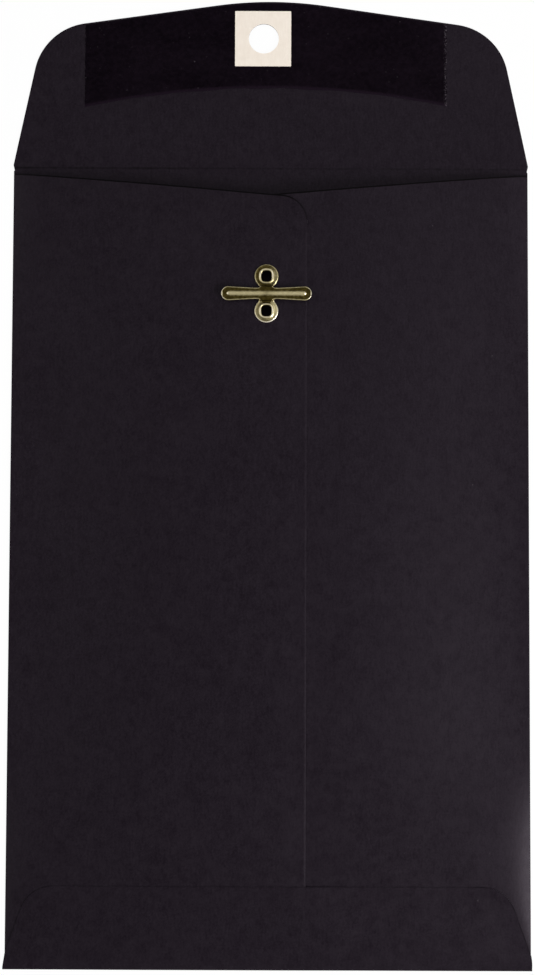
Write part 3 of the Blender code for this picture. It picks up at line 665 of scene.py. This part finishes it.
def bridged_step(x):
    """The outer panel's step as the bottom flap takes it: a climb from the left, eased out to the right of
    the middle."""
    return np.where(x < 0, outer_step(x), OUTER_STEP * (1 - smoothstep(BRIDGE_FROM, BRIDGE_TO, x)))


def under_bottom_flap(x, y):
    """Height that the bottom flap bridges: the inner panel's upper face and the bridged step."""
    return inner_mid(x, y) + bridged_step(x) + PAPER / 2


def bottom_flap_gap(x, up, half):
    """Room under the bottom flap: what its glue takes in the middle, closing towards its sides, and pressed
    in along its top and its left side."""
    side = smoothstep(0, BOTTOM_FLAP_CLOSES[0], half - np.abs(x))
    top = smoothstep(0, BOTTOM_FLAP_CLOSES[1], BOTTOM_FLAP - up)
    above_fold = smoothstep(0, BOTTOM_FLAP_SETTLES, up)
    laid = (1 - side * top) * above_fold
    from_edge = np.minimum(BOTTOM_FLAP - up, np.where(x < 0, half + x, half))
    pressed = BOTTOM_FLAP_PRESS * (1 - smoothstep(0, BOTTOM_FLAP_PRESS_RUN, from_edge)) * above_fold
    return GLUED_GAP - (GLUED_GAP - BOTTOM_FLAP_GAP) * laid - pressed


def make_bottom_flap(paper, glue):
    """The bottom fold and its flap: a half roll round the panels' ends, then a leaf that lies on the front.
    Its glue is a thinner leaf halfway up the room under it."""
    up, wide = bottom_flap_side()
    share = np.sin(np.linspace(-1, 1, 161) * math.pi / 2)
    base = (BODY_HALF + bottom_flap_spur(share, BOTTOM_STACK / 2)) * share
    stack = BOTTOM_STACK - OUTER_STEP + bridged_step(base)
    roll = stack / 2 - PAPER / 2
    turn = np.linspace(0, math.pi, 15)[:-1, None]
    fold_y = BOTTOM_Y + stack / 2 - roll * np.sin(turn)
    fold_z = stack / 2 - roll * np.cos(turn)
    fold = np.stack(np.broadcast_arrays(base, fold_y, fold_z), -1)
    start = np.stack(np.broadcast_arrays(base, PANEL_BOTTOM, PAPER / 2), -1)[None]
    x = (wide[:, None] + bottom_flap_spur(share, up[:, None])) * share
    y = np.broadcast_to(BOTTOM_Y + up[:, None], (len(up), len(share)))
    left, right = (wide[:, None] - run for run in BOTTOM_FLAP_LEVEL)
    gap = bottom_flap_gap(x, up[:, None], wide[:, None])
    z = under_bottom_flap(np.clip(x, -left, right), y) + gap + PAPER / 2
    grid = np.concatenate([start, fold, np.stack([x, y, z], -1)])
    piece = add_leaf("paper_bottom_flap", grid, PAPER, paper, pale=0.0)
    # its painted shade line runs along the top and, a little wider, down the right side
    inside = np.minimum(BOTTOM_FLAP - up[:, None], 0.7 * (wide[:, None] - np.abs(x)))
    drawn = np.where(up > BOTTOM_FLAP_SHANK, 0.24, 0)[:, None] * smoothstep(*BOTTOM_LINE_STARTS, x)
    amount = drawn + 0.14 * smoothstep(*BOTTOM_LINE_GROWS, x)
    pressed = np.zeros(grid.shape[:2])
    pressed[-len(up):] = amount * (1 - smoothstep(*BOTTOM_FLAP_LINE, inside))
    add_mask(piece, "pressed", np.tile(pressed.ravel(), 2), "POINT")
    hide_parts("bottom_flap")
    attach(piece, "envelope")

    across = np.linspace(-BOTTOM_GLUE_HALF, BOTTOM_GLUE_HALF, 90)
    x, y = np.meshgrid(across, BOTTOM_Y + np.linspace(BOTTOM_GLUE_FROM, BOTTOM_GLUE_TO, 12))
    gap = bottom_flap_gap(x, y - BOTTOM_Y, np.interp(y - BOTTOM_Y, up, wide))
    z = under_bottom_flap(x, y) + gap / 2
    piece = add_leaf("glue_bottom_flap", np.stack([x, y, z], -1), FILM, glue)
    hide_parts("bottom_flap_glue")
    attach(piece, "envelope")


def flap_tip():
    """Height above the crease at which the flap's two slopes would meet, from the rounding of its tip."""
    return FLAP_LENGTH + FLAP_TIP_RADIUS * (1 / math.cos(FLAP_TOP_SLOPE) - 1)


def flap_edge(x):
    """Top edge of the flap: two slopes joined by an arc."""
    slope = CREASE_Y + flap_tip() - math.tan(FLAP_TOP_SLOPE) * np.abs(x)
    half = FLAP_TIP_RADIUS * math.sin(FLAP_TOP_SLOPE)
    arc = np.sqrt(FLAP_TIP_RADIUS**2 - np.minimum(np.abs(x), half) ** 2)
    return np.where(np.abs(x) < half, CREASE_Y + FLAP_LENGTH - FLAP_TIP_RADIUS + arc, slope)


def flap_lift(y):
    """The flap rises off the table from its crease and soon lies level again."""
    return CREASE_LIFT * (1 - np.exp(-np.maximum(y - CREASE_Y, 0) / CREASE_LIFT_RUN))


def on_flap(flat, height):
    """Points of a flat grid set at this height on the flap."""
    return np.concatenate([flat, (height + flap_lift(flat[..., 1]))[..., None]], -1)


def make_closing_flap(paper):
    """The flap: rays from the punched hole to its outline, with close rows along its outline and so along the
    crease.
    """
    shoulder_y = CREASE_Y + flap_tip() - math.tan(FLAP_TOP_SLOPE) * FLAP_SHOULDER_HALF
    right = [
        (BODY_HALF - FLAP_INSETS[0], FLAP_START, 0),
        (BODY_HALF - FLAP_INSETS[1], FLAP_WIDENS[0], 0),
        (FLAP_HALF, FLAP_WIDENS[1], 0),
        (FLAP_SHOULDER_HALF, shoulder_y, FLAP_SHOULDER_RADIUS),
    ]
    left = [(-x, y, radius) for x, y, radius in right[::-1]]
    corners = [*right, (0, CREASE_Y + flap_tip(), FLAP_TIP_RADIUS), *left]
    outline = filled(rounded(corners, 24), 1.2 * MM)
    stations = np.concatenate([np.linspace(0, 0.88, 24)[:-1], np.linspace(0.88, 1, 36)])
    grid = on_flap(ring_about_hole(outline, stations), PAPER / 2)
    piece = add_leaf("paper_closing_flap", grid[::-1], PAPER, paper, ring=True)
    x, y = grid[::-1, :, 0], grid[::-1, :, 1]
    # painted shade along the crease, weaker to the right
    amount = 0.42 - 0.14 * smoothstep(*SCORE_WEAKENS, x)
    painted_crease_shade = amount * np.exp(-(((y - SCORE_Y) / SCORE_WIDTH) ** 2))
    add_mask(piece, "pressed", np.tile(painted_crease_shade.ravel(), 2), "POINT")
    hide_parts("closure_flap")
    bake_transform(piece)


def make_gum(gum):
    """The gum band: rays from the hole to an outline whose lower edge is an arch with two slight waves and
    whose ends are ragged."""
    x = GUM_X + np.linspace(-GUM_HALF, GUM_HALF, 240)

    def arch_at(place):
        """The arch of the band's lower edge."""
        top = CREASE_Y + FLAP_LENGTH - GUM_DEPTH
        return top - GUM_ARCH_RADIUS + np.sqrt(GUM_ARCH_RADIUS**2 - place**2)

    short_wave = np.sin(x / (2.3 * MM))
    beating_wave = np.sin(x / (3.7 * MM) + 1) * np.sin(x / (11 * MM))
    arch = arch_at(x) + GUM_WAVE * (short_wave + beating_wave)
    upper = flap_edge(x) - GUM_INSET
    side = np.linspace(0, 1, 46)[1:-1]
    ragged = GUM_RAGGED * np.random.default_rng(7).standard_normal((2, len(side)))
    right = np.stack([x[-1] + ragged[0], arch[-1] + (upper[-1] - arch[-1]) * side], -1)
    left = np.stack([x[0] + 0.5 * ragged[1], upper[0] + (arch[0] - upper[0]) * side], -1)
    top = np.stack([x, upper], -1)[::-1]
    outline = np.concatenate([np.stack([x, arch], -1), right, top, left])
    stations = np.concatenate([np.linspace(0, 0.9, 16)[:-1], np.linspace(0.9, 1, 16)])
    flat = ring_about_hole(outline, stations)[::-1]
    grid = on_flap(flat, GUM_Z)
    piece = add_leaf("gum_band", grid, FILM, gum, ring=True)
    broken = smoothstep(-GUM_BROKEN[0], -GUM_BROKEN[1], flat[..., 0] - GUM_X - GUM_HALF)
    thin = 1 - smoothstep(0, GUM_THIN, flat[..., 1] - arch_at(flat[..., 0]))
    add_mask(piece, "broken_edge", np.tile(broken.ravel(), 2), "POINT")
    add_mask(piece, "thin_edge", np.tile(thin.ravel(), 2), "POINT")
    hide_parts("flap_gum")
    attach(piece, "flap")


def make_patch(card):
    """The reinforcing patch: rays from the hole to a square with barely rounded corners."""
    signs = ((1, -1), (1, 1), (-1, 1), (-1, -1))
    corners = [(PATCH_X + a * PATCH_HALF, HOLE[1] + b * PATCH_HALF, PATCH_CORNER) for a, b in signs]
    flat = ring_about_hole(filled(rounded(corners, 4), 0.35 * MM), np.linspace(0, 1, 14))
    grid = on_flap(flat[::-1], PATCH_Z)
    piece = add_leaf("card_patch", grid, PATCH_THICKNESS, card, ring=True)
    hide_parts("hole_patch")
    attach(piece, "flap")


# The clasp


def eyelet_outline(turn):
    """Reach of an eyelet's flange: a circle, drawn out by two tangents to the neck's corners and cut off at
    the bar. Also gives where it is clear of that cut."""
    end = EYELET_OUT - NECK_TOP + NECK_OVERLAP
    corner = math.atan2(NECK_HALF, end)
    tangent = corner + math.acos(EYELET_RADIUS / math.hypot(NECK_HALF, end))
    away = np.abs(turn)
    flank = EYELET_RADIUS / np.cos(np.clip(tangent - away, 0, math.pi / 3))
    reach = np.where(away < corner, end / np.cos(np.minimum(away, corner)), flank)
    return reach, away > corner - 0.05


def eyelet_profile():
    """(radius, height, share of the neck's reach, rubbed) round an eyelet's section."""
    rim, lip, barrel, bore, clinch = EYELET_RADIUS, LIP_RADIUS, BARREL_RADIUS, BORE_RADIUS, CLINCH_RADIUS
    under = -(LEAF_GAP + PAPER + OUTER_STEP + LEAF_GAP)
    raised_rim = [
        (rim, 0.35 * BRASS, 1, 0.7),
        (rim - 0.03 * MM, 0.58 * BRASS, 1, 0.9),
        (rim - 0.15 * MM, 0.90 * BRASS, 1, 1.0),
        (rim - 0.23 * MM, BRASS, 1, 0.9),
        (rim - 0.32 * MM, 0.94 * BRASS, 1, 0.25),
    ]
    dish = [
        (rim - 0.52 * MM, 0.70 * BRASS, 0.9, 0.0),
        (rim - 0.80 * MM, 0.62 * BRASS, 0.6, 0.0),
        (lip + 0.25 * MM, 0.72 * BRASS, 0.2, 0.0),
    ]
    rolled_lip = [
        (lip + 0.06 * MM, BRASS - 0.02 * MM, 0, 0.4),
        (lip - 0.10 * MM, BRASS + 0.09 * MM, 0, 1.1),
        (barrel - 0.02 * MM, BRASS + 0.11 * MM, 0, 1.2),
        (bore + 0.08 * MM, BRASS + 0.03 * MM, 0, 0.6),
    ]
    down_the_bore = [
        (bore, 0.7 * BRASS, 0, 0.2),
        (bore, -BRASS, 0, 0.0),
        (bore - 0.1 * MM, under, 0, 0.0),
    ]
    clinched_edge = [
        (barrel, under - 0.26 * MM, 0, 0.2),
        (clinch - 0.46 * MM, under - 0.30 * MM, 0, 0.4),
        (clinch, under - 0.18 * MM, 0, 0.6),
        (clinch, under - 0.04 * MM, 0, 0.4),
        (clinch - 0.36 * MM, under - 0.01 * MM, 0, 0.0),
        (barrel + 0.05 * MM, under, 0, 0.0),
    ]
    up_the_barrel = [
        (barrel, under + 0.12 * MM, 0, 0.0),
        (barrel, -0.12 * MM, 0, 0.0),
        (barrel + 0.06 * MM, 0, 0, 0.0),
    ]
    underside = [
        (lip + 0.25 * MM, 0, 0.2, 0.0),
        (rim - 0.85 * MM, 0, 0.6, 0.0),
        (rim - 0.3 * MM, 0, 0.95, 0.0),
        (rim - 0.06 * MM, 0.02 * MM, 1, 0.1),
        (rim, 0.15 * BRASS, 1, 0.4),
    ]
    top = raised_rim + dish + rolled_lip
    return np.array(top + down_the_bore + clinched_edge + up_the_barrel + underside).T


def eyelet_grid(sign):
    """One eyelet, below (-1) or above (1) the bar, and its wear with painted highlight and shade: the section
    turned about its axis, squared off at the barrel, its neck bent up to the bar."""
    radius, height, share, rubbed = (row[None, :] for row in eyelet_profile())
    turn = np.linspace(-math.pi, math.pi, 145)[:-1, None]
    outline, flank = eyelet_outline(turn)
    power = BARREL_SQUARENESS
    square = (np.abs(np.cos(turn)) ** power + np.abs(np.sin(turn)) ** power) ** (-1 / power)
    squared = np.clip((ROUND_FROM - radius) / (ROUND_FROM - BARREL_RADIUS), 0, 1)
    reach = radius * (1 + squared * (square - 1)) + share * (outline - EYELET_RADIUS)
    along, across = reach * np.cos(turn) * (1 + BARREL_TALLNESS * squared), reach * np.sin(turn)
    bent = smoothstep(EYELET_OUT - NECK_FOOT, EYELET_OUT - NECK_TOP, along)
    z = EYELET_Z + height + bent * (ARM_Z - EYELET_Z - NECK_DROP)
    x = CLASP_X - sign * across
    y = CLASP_Y + sign * (EYELET_OUT - along) + EYELET_UP
    rubbed = np.where(share > 0.5, rubbed * flank, rubbed)
    # painted highlight and shade: the lower eyelet is painted brighter than the upper one, the dishes
    # brighter on their right, and rims and lips lighter or darker by which way they face
    right, up = -sign * np.sin(turn), -sign * np.cos(turn)
    dish_highlight = 0.21 - 0.14 * sign + (0.42 - 0.06 * sign) * np.clip(right, 0, 1) ** 1.5
    on_rim = 1.0 - 0.3 * sign + 0.1 * right - (0.19 + 0.02 * sign) * up
    lip_light_and_shade = 1.2 - 0.2 * np.abs(up) - (0.2 + 0.2 * sign) * np.clip(-up, 0, 1)
    rubbed = rubbed * np.where(share > 0.92, on_rim, np.where(share == 0, lip_light_and_shade, 1))
    wear_with_highlight = np.maximum(rubbed, dish_highlight * flank * (height > 0.6 * BRASS))
    return np.stack(np.broadcast_arrays(x, y, z), -1), wear_with_highlight


def make_eyelets(brass):
    """Both eyelets with their necks, each a closed ring of sections."""
    points, rubbed, faces = [], [], []
    for sign in (-1, 1):
        grid, wear_with_highlight = eyelet_grid(sign)
        faces.append(grid_faces(*grid.shape[:2], True, True).reshape(-1, 4) + sum(len(p) for p in points))
        points.append(grid.reshape(-1, 3))
        rubbed.append(wear_with_highlight.ravel())
    points, faces = np.concatenate(points), np.concatenate(faces).tolist()
    piece = add_piece("clasp_eyelets", points, faces, brass, sharp=0)
    add_mask(piece, "rubbed", np.concatenate(rubbed), "POINT")
    smooth = piece.modifiers.new("rounded", "SUBSURF")
    smooth.levels = smooth.render_levels = 1
    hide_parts("clasp_base")
    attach(piece, "envelope")


def arm_half(out):
    """Half width of the bar: a taper from the waist to a round end, and a fillet into the necks at the
    middle."""
    end = ARM_REACH - ARM_END
    straight = ARM_WAIST + (ARM_END - ARM_WAIST) * np.clip(out / end, 0, 1)
    straight = straight + (NECK_TOP - ARM_WAIST) * np.exp(-np.maximum(out - NECK_HALF, 0) / NECK_FILLET)
    past = np.clip(out - end, 0, ARM_END)
    return np.minimum(straight, np.sqrt(np.maximum(ARM_END**2 - past**2, 0)))


def arm_columns():
    """Round the bar's section, as shares of: half width, rim, bead half width, thickness and bead height;
    then rubbed."""
    share = np.linspace(-1, 1, 17)
    crown = np.cos(share * math.pi / 2) ** 2
    none = np.zeros_like(share)
    rim = np.array([
        (-1, 0.0, 0, 0.30, 0, 0.50), (-1, 0.0, 0, 0.58, 0, 0.90), (-1, 0.8, 0, 0.90, 0, 1.00),
        (-1, 1.3, 0, 1.00, 0, 0.90), (-1, 1.8, 0, 0.94, 0, 0.40), (-1, 2.8, 0, ARM_FLAT, 0, 0.00),
    ])
    bead = np.stack([none, none, share, none + 0.82, crown, crown], -1)
    hollow = np.stack([none, none, -0.8 * share, none, 0.7 * crown, none], -1)
    foot = np.array([(-1, 0.3, 0, 0.03, 0, 0)])
    turned = np.array([-1, -1, -1, 1, 1, 1])
    return np.concatenate([rim, bead, rim[::-1] * turned, foot * turned, hollow, foot]).T


def make_arm(name, side, node, bend_x, brass):
    """Half of the bar, from the clasp's middle to one tip: its section carried outwards, the bead dying out
    in a round."""
    tip = ARM_REACH - ARM_END + ARM_END * np.sin(np.linspace(0, math.radians(86), 14))
    bead_end = BEAD_REACH - np.linspace(0, BEAD_POINT, 14)
    hinge = abs(bend_x - CLASP_X) + np.linspace(-0.5, 0.5, 17) * MM
    out = np.unique(np.concatenate([np.linspace(0, 9.5 * MM, 20), hinge, bead_end, tip]).round(7))[:, None]
    half = arm_half(out)
    ending = smoothstep(BEAD_REACH, BEAD_REACH - BEAD_END, out)
    pointed = np.sqrt(np.clip((BEAD_REACH - out) / BEAD_POINT, 0.01, 1))
    raised = BEAD_HEIGHT * ending
    wide, rim, bead, thick, crown, rubbed = arm_columns()
    bead_half = pointed * np.minimum(BEAD_HALF, BEAD_SHARE * half)
    across = wide * half + rim * np.minimum(ARM_RIM, half / 4) + bead * bead_half
    beside_neck = smoothstep(NECK_HALF, NECK_HALF + 0.5 * MM, out)
    on_rim = (thick > ARM_FLAT) & (wide != 0)
    thick = np.where(on_rim, ARM_FLAT + (thick - ARM_FLAT) * beside_neck, thick)
    at_tip = smoothstep(ARM_REACH - 0.42 * MM, ARM_REACH - 0.22 * MM, out)
    thick = np.where(thick > 0.8, thick + (1 - thick) * at_tip, thick)
    height = thick * BRASS + crown * raised
    x = np.broadcast_to(CLASP_X + side * out, across.shape)
    grid = np.stack([x, CLASP_Y + across, ARM_Z + height], -1)
    rows, columns = across.shape
    quads = grid_faces(rows, columns, ring_columns=True).reshape(-1, 4)
    loop = np.arange(columns)
    ahead = np.roll(loop, -1)
    last = (rows - 1) * columns
    middle_cap = np.stack([ahead, loop, np.full(columns, rows * columns)], -1)
    tip_cap = np.stack([last + loop, last + ahead, np.full(columns, rows * columns + 1)], -1)
    turn = -1 if side > 0 else 1
    faces = [*quads[:, ::turn].tolist(), *middle_cap[:, ::turn].tolist(), *tip_cap[:, ::turn].tolist()]
    points = np.concatenate([grid.reshape(-1, 3), grid[:1].mean(1), grid[-1:].mean(1)])
    piece = add_piece(name, points, faces, brass, sharp=50)
    # rubbed along the bead, less at the middle, and round the tip's rim; the spot at the bead's end is a
    # painted highlight
    middle = 1 - 0.35 * np.exp(-((out / (1.5 * MM)) ** 2))
    # painted highlight: a glint where the bead's end turns to the light
    painted_glint = 0.7 * np.exp(-(((out - BEAD_REACH + 0.45 * MM) / (0.32 * MM)) ** 2))
    to_neck = smoothstep(NECK_HALF - 0.3 * MM, NECK_HALF, out)
    towards_tip = smoothstep(ARM_REACH - 1.8 * MM, ARM_REACH - 0.4 * MM, out)
    bright = rubbed * np.where(wide != 0, to_neck * (0.6 + 0.8 * towards_tip), ending * middle + painted_glint)
    bright = np.maximum(bright, 1.3 * at_tip * (thick > 0.8))
    add_mask(piece, "rubbed", np.append(bright.ravel(), [0.5, 0.8]), "POINT")
    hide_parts(node)
    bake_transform(piece)


# Studio


def make_studio():
    """A white floor that sweeps up into a low round wall: a profile of flat, quarter cove and wall, turned
    about Z. It looks evenly white, and lights the envelope as a plain pale floor would."""
    reach, cove, wall, below = 2.6, 0.4, 1.2, 0.3 * MM
    turn = np.linspace(0, math.pi / 2, 9)
    radius = np.concatenate([[0.001, 0.3, 1.0], reach + cove * np.sin(turn), [reach + cove]])
    height = np.concatenate([[0, 0, 0], cove * (1 - np.cos(turn)), [wall]]) - below
    spin = np.linspace(0, 2 * math.pi, 97)[:-1, None]
    x, y = radius * np.cos(spin), radius * np.sin(spin)
    grid = np.stack(np.broadcast_arrays(x, y, height[None, :]), -1)
    faces = grid_faces(*grid.shape[:2], True, False).reshape(-1, 4)[:, ::-1]
    mesh = bpy.data.meshes.new("white_sweep")
    mesh.from_pydata(grid.reshape(-1, 3).tolist(), [], faces.tolist())
    mesh.shade_smooth()
    sweep = bpy.data.objects.new("white_sweep", mesh)
    bpy.context.scene.collection.objects.link(sweep)
    look = Finish("white_sweep", Roughness=0.9, Specular_IOR_Level=0.0)
    tone = look.noise(look.here(), 0.4, 2)
    look.set(Base_Color=look.mix(tone, (0.86, 0.86, 0.86), (0.92, 0.92, 0.92)))
    path = look.tree.nodes.new("ShaderNodeLightPath")
    rays = "Is Camera Ray", "Is Glossy Ray", "Is Transmission Ray"
    seen = [Val(look, path.outputs[name]) for name in rays]
    glow = look.make("ShaderNodeEmission", None, {"Color": (1, 1, 1, 1), "Strength": 1.0})
    share = (seen[0] + seen[1] + seen[2]).between(0, 1) * 0.97
    matt = Val(look, look.shader.outputs[0])
    both = look.make("ShaderNodeMixShader", None, {0: share, 1: matt, 2: glow})
    look.put(look.tree.nodes["Material Output"].inputs["Surface"], both)
    mesh.materials.append(look.material)


def add_lamp(name, place, aim, size, power):
    """A square soft lamp turned towards a point."""
    lamp = bpy.data.lights.new(name, "AREA")
    lamp.size = size
    lamp.energy = power
    holder = bpy.data.objects.new(name, lamp)
    bpy.context.scene.collection.objects.link(holder)
    holder.location = place
    holder.rotation_mode = "QUATERNION"
    holder.rotation_quaternion = (Vector(aim) - Vector(place)).to_track_quat("-Z", "Y")


def make_light():
    """Even studio air, a lamp low on the right for the sheen, and two soft lamps that fill."""
    world = bpy.data.worlds.new("studio_air")
    world.use_nodes = True
    air = world.node_tree.nodes["Background"]
    air.inputs["Color"].default_value = (1, 1, 1, 1)
    air.inputs["Strength"].default_value = 0.445
    bpy.context.scene.world = world
    add_lamp("right_lamp", place=(0.55, -0.25, 0.40), aim=(0.02, -0.02, 0), size=0.35, power=5.2)
    add_lamp("left_lamp", place=(-0.85, 0.05, 0.75), aim=(0, 0, 0), size=0.7, power=1.5)
    add_lamp("upper_lamp", place=(0.42, 0.52, 1.2), aim=(0.04, 0.1, 0), size=0.45, power=0.9)


def make_camera():
    """Above the envelope, a little below its middle."""
    camera = bpy.data.cameras.new("camera")
    camera.lens = CAMERA_LENS
    camera.sensor_width = 36
    camera.clip_start, camera.clip_end = 0.05, 20
    holder = bpy.data.objects.new("camera", camera)
    holder.location = CAMERA_PLACE
    holder.rotation_euler = [math.radians(angle) for angle in CAMERA_TURN]
    bpy.context.scene.collection.objects.link(holder)
    bpy.context.scene.camera = holder


def main():
    """All pieces, the stage, the light and the camera."""
    paper, brass, glue = black_paper(), antique_brass(), clear_glue()
    make_blank(paper)
    make_bottom_flap(paper, glue)
    make_closing_flap(paper)
    make_gum(dried_gum())
    make_patch(cream_card())
    make_eyelets(brass)
    make_arm("clasp_left_arm", -1, "clasp_left_prong", LEFT_BEND_X, brass)
    make_arm("clasp_right_arm", 1, "clasp_right_prong", RIGHT_BEND_X, brass)
    seam_glue = frame["nodes"]["seam_glue"].data
    seam_glue.materials.clear()
    seam_glue.materials.append(glue)
    make_studio()
    make_light()
    make_camera()
    bpy.context.scene.view_settings.view_transform = "Standard"


main()
